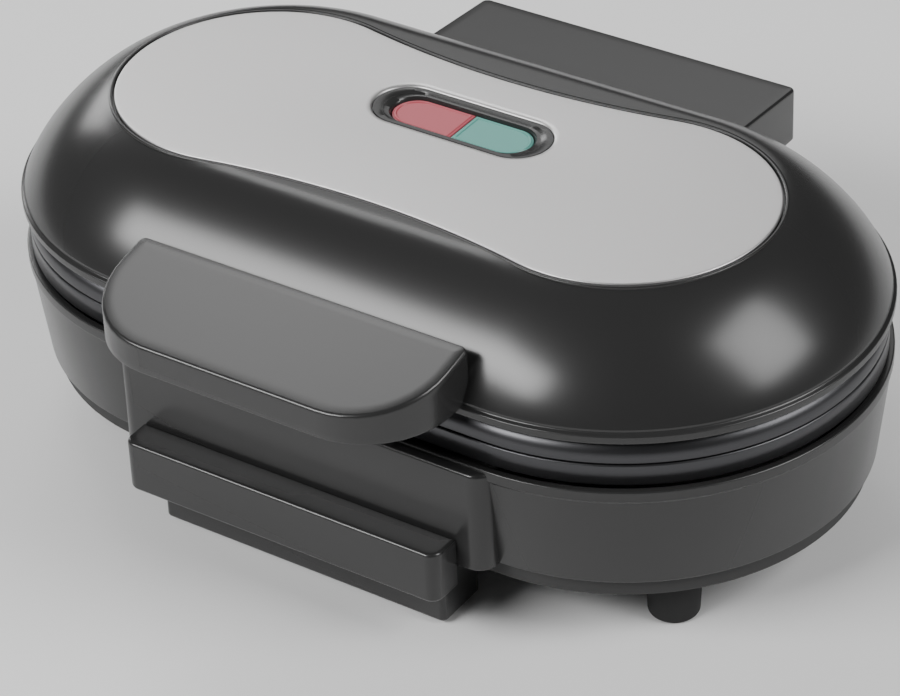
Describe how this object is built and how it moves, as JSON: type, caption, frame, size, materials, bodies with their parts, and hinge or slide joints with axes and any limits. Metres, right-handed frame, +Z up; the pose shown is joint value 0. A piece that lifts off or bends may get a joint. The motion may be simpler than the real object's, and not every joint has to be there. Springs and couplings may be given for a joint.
{
  "type": "donut maker",
  "caption": "Racetrack-shaped electric donut maker: domed gloss-black lid with a steel waisted plate and lamp window, ring-mould cooking plates, front handles, rear hinge.",
  "frame": {"origin": "on the floor, under the middle of the whole object's box", "axes": "+X along the length, left to right seen from the handles; +Y from the handles to the hinge; +Z up"},
  "size_m": [0.2832, 0.222, 0.108],
  "materials": {
    "gloss_black": "high-gloss moulded plastic",
    "satin_black": "fine-textured moulding",
    "steel_plate": "fine brushed along the length",
    "coated_plate": "speckled non-stick coating on cast aluminium",
    "element_sheath": "heat-tinted drawn tube",
    "shield_sheet": "aluminised sheet",
    "fastener_steel": "zinc plated",
    "rubber": "matt rubber",
    "red_lens": "clear tinted plastic",
    "green_lens": "clear tinted plastic",
    "lamp_glass": "clear glass",
    "ceramic": "unglazed ceramic",
    "brown_lead": "silicone insulation",
    "blue_lead": "silicone insulation"
  },
  "bodies": {
    "base": {"lower_housing": "gloss_black", "lower_handle": "gloss_black", "lower_cooking_plate": "coated_plate", "lower_heating_element": "element_sheath", "lower_heat_shield": "shield_sheet", "bottom_cover": "satin_black", "thermostat": "ceramic", "thermal_fuse": "ceramic", "terminal_block": "ceramic", "mains_inlet_gland": "rubber", "live_lead": "brown_lead", "neutral_lead": "blue_lead", "foot_front_left": "rubber", "foot_front_right": "rubber", "foot_rear_left": "rubber", "foot_rear_right": "rubber", "hinge_pin_left": "fastener_steel", "hinge_pin_right": "fastener_steel", "lower_handle_screw_left": "fastener_steel", "lower_handle_screw_right": "fastener_steel", "lower_plate_screw_1": "fastener_steel", "lower_plate_screw_2": "fastener_steel", "lower_plate_screw_3": "fastener_steel", "lower_plate_screw_4": "fastener_steel", "cover_screw_1": "fastener_steel", "cover_screw_2": "fastener_steel", "cover_screw_3": "fastener_steel", "cover_screw_4": "fastener_steel"},
    "lid": {"upper_housing": "gloss_black", "steel_top_plate": "steel_plate", "lamp_bezel": "gloss_black", "red_lamp_lens": "red_lens", "green_lamp_lens": "green_lens", "lamp_holder": "satin_black", "red_neon_lamp": "lamp_glass", "green_neon_lamp": "lamp_glass", "upper_handle": "gloss_black", "upper_cooking_plate": "coated_plate", "upper_heating_element": "element_sheath", "upper_heat_shield": "shield_sheet", "upper_handle_screw_left": "fastener_steel", "upper_handle_screw_right": "fastener_steel", "lamp_holder_screw_left": "fastener_steel", "lamp_holder_screw_right": "fastener_steel", "upper_plate_screw_1": "fastener_steel", "upper_plate_screw_2": "fastener_steel", "upper_plate_screw_3": "fastener_steel", "upper_plate_screw_4": "fastener_steel"}
  },
  "joints": [
    {"name": "lid_hinge", "type": "hinge", "parent": "base", "child": "lid", "pos_m": [0, 0.101, 0.064], "axis": [-1, 0, 0], "range_deg": [0, 105]}
  ]
}
